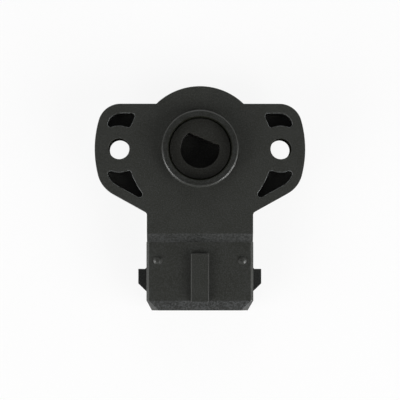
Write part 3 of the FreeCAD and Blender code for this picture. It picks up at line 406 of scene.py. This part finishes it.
@dataclass(frozen=True)
class HousingPlastic(MouldedPlastic):
    """The housing's plastic, which differs from place to place, partly as its mould does and partly
    by painted light.

    It is coarse on the ramp and on the lead-in, smoother on the collar's rim, and matt inside the
    holes.
    Its colour is darkened on the collar's rim and on the lugs, which is painted shade, and it is
    pale in patches along the rims of the pockets and holes, which is a painted highlight.
    """

    ramp_start: float = -19.94 * MM
    ramp_end: float = -21.84 * MM
    ramp_share: float = 0.8
    lead_in: float = -35.65 * MM
    lead_in_foot: float = -3.3 * MM
    mouth: float = -37.95 * MM
    header_top: float = -1.88 * MM
    header_side: float = 12.64 * MM
    lug_fade: float = 1 * MM
    edge: float = 0.08 * MM
    fade: float = 0.3 * MM
    collar_level: float = 3.9 * MM
    rim_painted_shade: float = 0.5
    dark: float = 0.3
    lump: float = 0.5 * MM
    lump_band: Band = (0.44, 0.6)
    lump_share: float = 0.16
    lump_height: float = 5.0
    ear_band: Band = (-16.94 * MM, -16.44 * MM)
    pocket_rim_band: Band = (-0.14 * MM, -0.12 * MM)
    pocket_face_band: Band = (-0.004 * MM, -0.02 * MM)
    rim_highlight_patch: float = 0.8 * MM
    rim_highlight_band: Band = (0.34, 0.5)
    rim_highlight_share: float = 0.7
    between_rim_highlights_matt: float = 0.5
    hole_place: float = 19.0 * MM
    hole_radius: float = 2.6 * MM
    bore_radius: float = 7.52 * MM
    bore_foot: float = 0.5 * MM
    wall_edge: float = 0.05 * MM

    def material(self) -> bpy.types.Material:
        """Make the material.

        Returns:
            The material.
        """
        graph = Surface(self.name)
        rim = graph.along(2).between(self.collar_level - self.edge, self.collar_level)
        coarse = self.coarse(graph)
        # Painted shade darkens the tint on the collar's rim and the lugs; the coarse zone's darker
        # tone is real.
        dark = coarse.math("MAXIMUM", rim * self.rim_painted_shade)
        dark = dark.math("MAXIMUM", self.lug_painted_shade(graph))
        tint = graph.blend(dark, self.tint, shade(self.tint, self.dark))
        lump = graph.noise(self.lump, detail=3.0)
        pockets = self.pocket_rims(graph)
        # Painted highlight: patches along the pocket and hole rims get the flecks' pale colour;
        # elsewhere matt.
        rim_highlight_patches = graph.noise(self.rim_highlight_patch).between(*self.rim_highlight_band)
        speckle = coarse * lump.between(*self.lump_band) * self.lump_share
        speckle = speckle + pockets * rim_highlight_patches * self.rim_highlight_share
        lumps = coarse * lump * self.lump_height
        self.mould(graph, tint, speckle, lumps, polished=rim)
        between_rim_highlights = pockets * (1 - rim_highlight_patches) * self.between_rim_highlights_matt
        matt = self.inside_holes(graph).math("MAXIMUM", between_rim_highlights)
        graph.overlay(matt, "ShaderNodeBsdfDiffuse", Color=self.tint)
        return graph.material

    def coarse(self, graph: Surface) -> Wire:
        """How much coarser the mould's texture is.

        Args:
            graph: the graph to build in.

        Returns:
            1 on the lead-in, a little less on the ramp, 0 elsewhere.
        """
        y, z = graph.along(1), graph.along(2)
        ramp = y.between(self.ramp_start + self.edge, self.ramp_start)
        ramp = ramp * y.between(self.ramp_end - self.edge, self.ramp_end)
        ramp = ramp * z.between(self.header_top - self.fade, self.header_top)
        lead_in = y.between(self.lead_in, self.lead_in - self.edge)
        lead_in = lead_in * y.between(self.mouth, self.mouth + self.edge)
        lead_in = lead_in * z.between(self.header_top + self.edge, self.header_top)
        lead_in = lead_in * z.between(self.lead_in_foot - self.fade, self.lead_in_foot)
        return ramp * self.ramp_share + lead_in

    def lug_painted_shade(self, graph: Surface) -> Wire:
        """Where the latch lugs are, whose colour is darkened as painted shade for their low place
        beside the header.

        Args:
            graph: the graph to build in.

        Returns:
            1 on the lugs, where the shade is painted, 0 elsewhere.
        """
        across = graph.along(0).math("ABSOLUTE")
        beside = across.between(self.header_side, self.header_side + self.edge)
        return beside * graph.along(1).between(self.ramp_end, self.ramp_end - self.lug_fade)

    def pocket_rims(self, graph: Surface) -> Wire:
        """Where the rims of the ears' pockets and holes are.

        Args:
            graph: the graph to build in.

        Returns:
            1 on the rims, 0 elsewhere.
        """
        level = graph.along(2)
        rim = level.between(*self.pocket_rim_band) * level.between(*self.pocket_face_band)
        return rim * graph.along(1).between(*self.ear_band)

    def inside_holes(self, graph: Surface) -> Wire:
        """Where the walls of the mounting holes and of the collar's bore are.

        Args:
            graph: the graph to build in.

        Returns:
            1 inside the holes, 0 elsewhere.
        """
        x, y, z = (graph.along(axis) for axis in range(3))
        across = x.math("ABSOLUTE") - self.hole_place
        from_hole = (across * across + y * y).math("SQRT")
        hole = from_hole.between(self.hole_radius + self.wall_edge, self.hole_radius)
        from_axis = (x * x + y * y).math("SQRT")
        bore = from_axis.between(self.bore_radius + self.wall_edge, self.bore_radius)
        return hole * z.between(0.0, -self.wall_edge) + bore * z.between(0.0, self.bore_foot)


@dataclass(frozen=True)
class Rubber:
    """Dull black rubber, with faint dust in its pores."""

    name: str
    tint: Colour
    roughness: float
    specular: float = 0.35
    grain: float = 0.12 * MM
    grain_roughness: float = 0.1
    relief: float = 0.004 * MM
    cloud: float = 2 * MM
    dust: float = 2.2
    dust_band: Band = (0.45, 0.8)
    dust_share: float = 0.25

    def material(self) -> bpy.types.Material:
        """Make the material.

        Returns:
            The material.
        """
        graph = Surface(self.name)
        grain = graph.noise(self.grain)
        dust = graph.noise(self.cloud).between(*self.dust_band) * self.dust_share
        middle = self.roughness - self.grain_roughness / 2
        return graph.dress(
            Base_Color=graph.blend(dust, self.tint, shade(self.tint, self.dust)),
            Roughness=grain * self.grain_roughness + middle,
            Specular_IOR_Level=self.specular,
            Normal=graph.bump(grain, self.relief),
        )


@dataclass(frozen=True)
class Metal:
    """Drawn, stamped or plated metal, with fine marks along one axis and dull patches."""

    name: str
    tint: Colour
    dull: Colour
    roughness: float
    stretch: Sequence[float] = (1, 12, 1)
    mark: float = 0.05 * MM
    mark_roughness: float = 0.16
    relief: float = 0.002 * MM
    patch: float = 1.2 * MM
    patch_band: Band = (0.4, 0.75)
    patch_roughness: float = 0.14
    smoother: float = 0.14

    def material(self) -> bpy.types.Material:
        """Make the material.

        Returns:
            The material.
        """
        graph = Surface(self.name)
        marks = graph.noise(self.mark, detail=3.0, stretch=self.stretch)
        patch = graph.noise(self.patch, detail=4.0)
        rough = marks * self.mark_roughness + patch * self.patch_roughness
        return graph.dress(
            Base_Color=graph.blend(patch.between(*self.patch_band), self.tint, self.dull),
            Metallic=1.0,
            Roughness=rough + (self.roughness - self.smoother),
            Normal=graph.bump(marks, self.relief),
        )


@dataclass(frozen=True)
class Laminate:
    """Glass cloth in resin: a fine square weave under a thin clear skin."""

    name: str
    resin: Colour
    glass: Colour
    roughness: float = 0.35
    pitch: float = 0.45 * MM
    relief: float = 0.004 * MM
    weave_share: float = 0.5
    cloud: float = 3 * MM
    cloud_share: float = 0.3
    cloud_roughness: float = 0.1

    def material(self) -> bpy.types.Material:
        """Make the material.

        Returns:
            The material.
        """
        graph = Surface(self.name)
        turn = 2 * math.pi / self.pitch
        warp = (graph.along(0) * turn).math("SINE")
        weft = (graph.along(1) * turn).math("SINE")
        weave = warp * weft * 0.5 + 0.5
        cloud = graph.noise(self.cloud)
        share = weave * self.weave_share + cloud * self.cloud_share
        return graph.dress(
            Base_Color=graph.blend(share, self.resin, self.glass),
            Roughness=cloud * self.cloud_roughness + self.roughness,
            Normal=graph.bump(weave, self.relief),
        )


@dataclass(frozen=True)
class Print:
    """A printed film, with the mesh marks of the screen that laid it."""

    name: str
    tint: Colour
    roughness: float
    metallic: float
    screen: float = 0.18 * MM
    screen_roughness: float = 0.1
    relief: float = 0.002 * MM
    cloud: float = 1.5 * MM
    cloud_share: float = 0.6
    cloud_roughness: float = 0.1
    thin: float = 0.85
    thick: float = 1.15
    smoother: float = 0.08

    def material(self) -> bpy.types.Material:
        """Make the material.

        Returns:
            The material.
        """
        graph = Surface(self.name)
        screen = graph.cells(self.screen)
        cloud = graph.noise(self.cloud)
        thin, thick = shade(self.tint, self.thin), shade(self.tint, self.thick)
        rough = screen * self.screen_roughness + cloud * self.cloud_roughness
        return graph.dress(
            Base_Color=graph.blend(cloud * self.cloud_share, thin, thick),
            Metallic=self.metallic,
            Roughness=rough + (self.roughness - self.smoother),
            Normal=graph.bump(screen, self.relief),
        )


@dataclass(frozen=True)
class CastResin:
    """Resin or sealant that has flowed and set: soft waves and small bubbles."""

    name: str
    tint: Colour
    roughness: float
    wave: float = 1.8 * MM
    wave_roughness: float = 0.2
    relief: float = 0.08 * MM
    bubble_pitch: float = 0.9 * MM
    bubble_size: Band = (0.0, 0.12)
    bubble_height: float = 0.08
    speck: float = 0.3 * MM
    dust: float = 1.8
    dust_band: Band = (0.5, 0.8)
    dust_share: float = 0.3

    def material(self) -> bpy.types.Material:
        """Make the material.

        Returns:
            The material.
        """
        graph = Surface(self.name)
        wave = graph.noise(self.wave)
        bubbles = graph.cells(self.bubble_pitch).between(*self.bubble_size)
        dust = graph.noise(self.speck).between(*self.dust_band) * self.dust_share
        middle = self.roughness - self.wave_roughness / 2
        return graph.dress(
            Base_Color=graph.blend(dust, self.tint, shade(self.tint, self.dust)),
            Roughness=wave * self.wave_roughness + middle,
            Normal=graph.bump(wave + bubbles * self.bubble_height, self.relief),
        )


class Finish(Enum):
    """Each finish of the sensor, with the material slot that it belongs to."""

    HOUSING = ("housing_plastic", HousingPlastic("black_housing", (0.0149, 0.0158, 0.012), 0.45))
    COVER = ("cover_plastic", MouldedPlastic("black_cover", (0.0155, 0.0161, 0.0136), 0.42))
    ROTOR = ("rotor_plastic", MouldedPlastic("black_rotor", (0.0082, 0.008, 0.0047), 0.42, 0.4))
    SEALANT = ("sealant", CastResin("grey_sealant", (0.05, 0.05, 0.052), 0.4))
    SEAL_RUBBER = ("seal_rubber", Rubber("seal_rubber", (0.014, 0.014, 0.014), 0.5))
    SPRING = ("spring_wire", Metal("spring_wire", (0.62, 0.62, 0.63), (0.45, 0.44, 0.43), 0.3))
    WASHER = ("washer_steel", Metal("washer_steel", (0.58, 0.58, 0.58), (0.42, 0.42, 0.42), 0.34))
    CONTACT = ("contact_spring", Metal("bronze_strip", (0.72, 0.5, 0.34), (0.5, 0.33, 0.22), 0.3))
    TIP = ("contact_tip", Metal("contact_alloy", (0.83, 0.79, 0.68), (0.62, 0.58, 0.5), 0.24))
    BOARD = ("board_laminate", Laminate("board_laminate", (0.3, 0.24, 0.1), (0.46, 0.41, 0.25)))
    CARBON = ("carbon_print", Print("carbon_print", (0.02, 0.02, 0.022), 0.34, 0.0))
    SILVER = ("silver_print", Print("silver_print", (0.62, 0.62, 0.6), 0.42, 1.0))
    TIN = ("tinned_terminal", Metal("tinned_brass", (0.74, 0.73, 0.7), (0.56, 0.54, 0.5), 0.32))
    SOLDER = ("solder", Metal("solder", (0.7, 0.7, 0.7), (0.5, 0.5, 0.5), 0.28, (1, 1, 1)))
    POTTING = ("potting_resin", CastResin("black_potting", (0.02, 0.02, 0.02), 0.2))

    def __init__(self, slot: str, recipe: Recipe) -> None:
        """Keep the slot and the recipe.

        Args:
            slot: its material slot.
            recipe: what makes the material.
        """
        self.slot = slot
        self.recipe = recipe
        self._made: bpy.types.Material | None = None

    def material(self) -> bpy.types.Material:
        """The finish's one material, made when it is first asked for."""
        if self._made is None:
            self._made = self.recipe.material()
        return self._made


def dress(piece: bpy.types.Object, finish: Finish) -> None:
    """Give a piece its finish.

    Args:
        piece: the object.
        finish: its finish.
    """
    piece.data.materials.clear()
    piece.data.materials.append(finish.material())


def add_piece(name: str, form: bmesh.types.BMesh, finish: Finish) -> bpy.types.Object:
    """Turn a finished bmesh into an object at the origin.

    Args:
        name: the piece's name.
        form: the mesh, which is freed.
        finish: the piece's finish.

    Returns:
        The new object.
    """
    mesh = bpy.data.meshes.new(name)
    form.to_mesh(mesh)
    form.free()
    piece = bpy.data.objects.new(name, mesh)
    bpy.context.scene.collection.objects.link(piece)
    dress(piece, finish)
    return piece


@dataclass
class CarriedOver:
    """The pieces whose form is right as it comes, each with its finish."""

    finishes: dict[str, Finish] = field(default_factory=lambda: {
        "housing": Finish.HOUSING,
        "rear_cover": Finish.COVER,
        "cover_seal": Finish.SEALANT,
        "rotor": Finish.ROTOR,
        "rotor_seal": Finish.SEAL_RUBBER,
        "thrust_washer": Finish.WASHER,
        "wiper_spring": Finish.CONTACT,
        "wiper_brush_outer": Finish.TIP,
        "wiper_brush_inner": Finish.TIP,
        "track_board": Finish.BOARD,
        "resistor_track": Finish.CARBON,
        "collector_track": Finish.SILVER,
        "terminal_supply": Finish.TIN,
        "terminal_signal": Finish.TIN,
        "terminal_ground": Finish.TIN,
        "solder_joint_1": Finish.SOLDER,
        "solder_joint_2": Finish.SOLDER,
        "solder_joint_3": Finish.SOLDER,
        "terminal_potting": Finish.POTTING,
    })

    def build(self, nodes: dict[str, bpy.types.Object]) -> list[bpy.types.Object]:
        """Dress the nodes.

        Args:
            nodes: the objects by node name.

        Returns:
            The dressed objects.
        """
        for name, finish in self.finishes.items():
            dress(nodes[name], finish)
        return [nodes[name] for name in self.finishes]


@dataclass
class ReturnSpring:
    """Square wire wound to the left round the hub, with a straight leg at each end."""

    wire: float = 0.56 * MM
    radius: float = 8.4 * MM
    top: float = -2.88 * MM
    pitch: float = 1.0 * MM
    turns: float = 2.5
    steps_per_turn: int = 48
    front_leg: float = 6.0 * MM
    rear_leg: float = 5.0 * MM
    wire_sides: int = 4
    wire_edge: float = 0.06 * MM
    wire_edge_segments: int = 2
    sharp: float = math.radians(40)

    def build(self) -> bpy.types.Object:
        """Wind the spring.

        Returns:
            The spring.
        """
        form = bmesh.new()
        middle = Vector((0, self.radius, self.top))
        ring = bmesh.ops.create_circle(
            form, segments=self.wire_sides, radius=self.wire / math.sqrt(2),
        )["verts"]
        upright = Euler((math.pi / 4, math.pi / 2, 0), "ZYX").to_matrix().to_4x4()
        bmesh.ops.transform(form, verts=ring, matrix=Matrix.Translation(middle) @ upright)
        steps = round(self.turns * self.steps_per_turn)
        first = list(form.edges)
        wound = bmesh.ops.spin(
            form, geom=first, cent=(0, 0, 0), axis=(0, 0, 1),
            dvec=(0, 0, -self.pitch * self.turns / steps), angle=2 * math.pi * self.turns,
            steps=steps, use_duplicate=False,
        )
        last = [part for part in wound["geom_last"] if isinstance(part, bmesh.types.BMEdge)]
        self.draw_leg(form, first, self.front_leg)
        self.draw_leg(form, last, self.rear_leg)
        bmesh.ops.recalc_face_normals(form, faces=form.faces)
        corners = [edge for edge in form.edges if edge.calc_face_angle() > self.sharp]
        bmesh.ops.bevel(
            form, geom=corners, offset=self.wire_edge, affect="EDGES",
            segments=self.wire_edge_segments, profile=0.5, material=-1,
        )
        spring = add_piece("return_spring_coil", form, Finish.SPRING)
        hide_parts("return_spring")
        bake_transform(spring)
        return spring

    def draw_leg(
        self, form: bmesh.types.BMesh, edges: list[bmesh.types.BMEdge], length: float,
    ) -> None:
        """Draw out one end of the wire towards +X, and close it.

        Args:
            form: the mesh.
            edges: the ring of edges at the end of the wire.
            length: the leg's length.
        """
        drawn = bmesh.ops.extrude_edge_only(form, edges=edges)["geom"]
        tip = [part for part in drawn if isinstance(part, bmesh.types.BMVert)]
        bmesh.ops.translate(form, verts=tip, vec=(length, 0, 0))
        rim = [part for part in drawn if isinstance(part, bmesh.types.BMEdge) and part.is_boundary]
        bmesh.ops.contextual_create(form, geom=rim)


@dataclass(frozen=True)
class Lamp:
    """A soft lamp that looks at the sensor, as wide and as deep as its fields say.

    The bearing runs from the connector's side towards the right, and the share is the part that
    the lamp has in lighting a surface that faces it to its own colour.
    """

    bearing: float
    height: float
    share: float
    width: float = 0.6
    depth: float = 0.6
    distance: float = 0.8

    def hang(self) -> None:
        """Hang the lamp."""
        bearing = math.radians(self.bearing)
        height = math.radians(self.height)
        way = Vector((
            math.sin(bearing) * math.cos(height),
            -math.cos(bearing) * math.cos(height),
            math.sin(height),
        ))
        data = bpy.data.lights.new("lamp", "AREA")
        data.shape = "ELLIPSE"
        data.size = self.width
        data.size_y = self.depth
        data.energy = self.share * (math.pi * self.distance) ** 2
        lamp = bpy.data.objects.new("lamp", data)
        lamp.location = way * self.distance
        lamp.rotation_euler = way.to_track_quat("Z", "Y").to_euler()
        bpy.context.scene.collection.objects.link(lamp)


@dataclass
class Studio:
    """Pale floor, soft lamps on three sides, and a camera that looks straight down.

    Two strips of light stand just over the floor. They reach walls and sloping edges, not flats.
    """

    floor_level: float = -15.42 * MM
    floor_size: float = 6.0
    floor_squares: int = 4
    paper: float = 0.94
    paper_roughness: float = 0.9
    paper_specular: float = 0.1
    mottle: float = 4 * MM
    mottle_band: Band = (0.3, 0.7)
    mottle_share: float = 0.01
    glow: float = 0.88
    far_glow: float = 0.115
    far: Band = (0.3, 1.5)
    camera_place: tuple[float, float, float] = (-4.7 * MM, -26.1 * MM, 532 * MM)
    camera_aim: tuple[float, float, float] = (0.0, -12.0 * MM, 0.0)
    lens: float = 203.9
    film: float = 36.0
    lamps: tuple[Lamp, ...] = (
        Lamp(bearing=-60.0, height=40.0, share=0.264),
        Lamp(bearing=60.0, height=40.0, share=0.373),
        Lamp(bearing=180.0, height=40.0, share=0.14),
        Lamp(bearing=-58.0, height=24.0, share=0.418, width=0.9, depth=0.5),
        Lamp(bearing=58.0, height=24.0, share=0.418, width=0.9, depth=0.5),
        Lamp(bearing=180.0, height=24.0, share=0.123, width=0.9, depth=0.5),
        Lamp(bearing=-60.0, height=-0.5, share=0.32, width=0.5, depth=0.014),
        Lamp(bearing=51.0, height=-0.5, share=0.43, width=0.5, depth=0.014),
    )
    sky: float = 0.12
    horizon: float = 0.3

    def build(self) -> None:
        """Put up the studio."""
        self.add_floor()
        self.add_world()
        for lamp in self.lamps:
            lamp.hang()
        self.add_camera()
        bpy.context.scene.view_settings.view_transform = "Standard"

    def add_floor(self) -> None:
        """Lay the floor, which the camera sees nearly white and which keeps the shadow."""
        form = bmesh.new()
        squares = self.floor_squares
        bmesh.ops.create_grid(
            form, x_segments=squares, y_segments=squares, size=self.floor_size / 2,
        )
        bmesh.ops.translate(form, verts=form.verts, vec=(0, 0, self.floor_level))
        mesh = bpy.data.meshes.new("floor")
        form.to_mesh(mesh)
        form.free()
        floor = bpy.data.objects.new("floor", mesh)
        bpy.context.scene.collection.objects.link(floor)
        mesh.materials.append(self.floor_paper())

    def floor_paper(self) -> bpy.types.Material:
        """Make the floor's material, which glows a little more away from the sensor.

        Returns:
            The material.
        """
        graph = Surface("floor_paper")
        mottle = graph.noise(self.mottle).between(*self.mottle_band)
        paper = mottle * self.mottle_share + self.paper
        tint = graph.node("ShaderNodeCombineColor", values={0: paper, 1: paper, 2: paper})
        graph.dress(
            Base_Color=tint,
            Roughness=self.paper_roughness,
            Specular_IOR_Level=self.paper_specular,
        )
        x, y = graph.along(0), graph.along(1)
        far = (x * x + y * y).math("SQRT").between(*self.far)
        glow = seen(graph) * (far * self.far_glow + self.glow)
        graph.overlay(glow, "ShaderNodeEmission", Color=WHITE, Strength=1.0)
        return graph.material

    def add_world(self) -> None:
        """Put up a dim grey sky, white to the camera and where the horizon is mirrored."""
        world = bpy.data.worlds.new("studio")
        bpy.context.scene.world = world
        world.use_nodes = True
        graph = Graph(world.node_tree, "ShaderNodeOutputWorld", "Generated")
        camera, mirrored = seen_straight(graph), seen_mirrored(graph)
        horizon = graph.along(2).between(self.horizon, 0.0)
        white = camera.math("MAXIMUM", mirrored * horizon)
        values = {"Color": WHITE, "Strength": white * (1.0 - self.sky) + self.sky}
        graph.show(graph.node("ShaderNodeBackground", values=values))

    def add_camera(self) -> None:
        """Set the camera where the photograph was taken from."""
        data = bpy.data.cameras.new("camera")
        data.lens = self.lens
        data.sensor_width = self.film
        camera = bpy.data.objects.new("camera", data)
        camera.location = self.camera_place
        back = (Vector(self.camera_place) - Vector(self.camera_aim)).normalized()
        right = Vector((0, 1, 0)).cross(back).normalized()
        turned = Matrix((right, back.cross(right), back)).transposed()
        camera.rotation_euler = turned.to_euler()
        bpy.context.scene.collection.objects.link(camera)
        bpy.context.scene.camera = camera


def seen_straight(graph: Graph) -> Wire:
    """Whether a ray comes straight from the camera, as 1 or 0."""
    return graph.node("ShaderNodeLightPath", output="Is Camera Ray")


def seen_mirrored(graph: Graph) -> Wire:
    """Whether a ray comes by way of gloss or glass, as 1 or 0."""
    glossy = graph.node("ShaderNodeLightPath", output="Is Glossy Ray")
    through = graph.node("ShaderNodeLightPath", output="Is Transmission Ray")
    return glossy.math("MAXIMUM", through)


def seen(graph: Graph) -> Wire:
    """Whether a ray shows what it meets to the camera, as 1 or 0."""
    return seen_straight(graph).math("MAXIMUM", seen_mirrored(graph))


def main() -> None:
    """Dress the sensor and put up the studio."""
    logging.basicConfig(level=logging.INFO)
    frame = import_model()
    pieces = [*CarriedOver().build(frame["nodes"]), ReturnSpring().build()]
    for piece in pieces:
        finish = piece.active_material.name
        LOG.info("%s: %d faces, %s", piece.name, len(piece.data.polygons), finish)
    Studio().build()


if __name__ == "__main__":
    main()
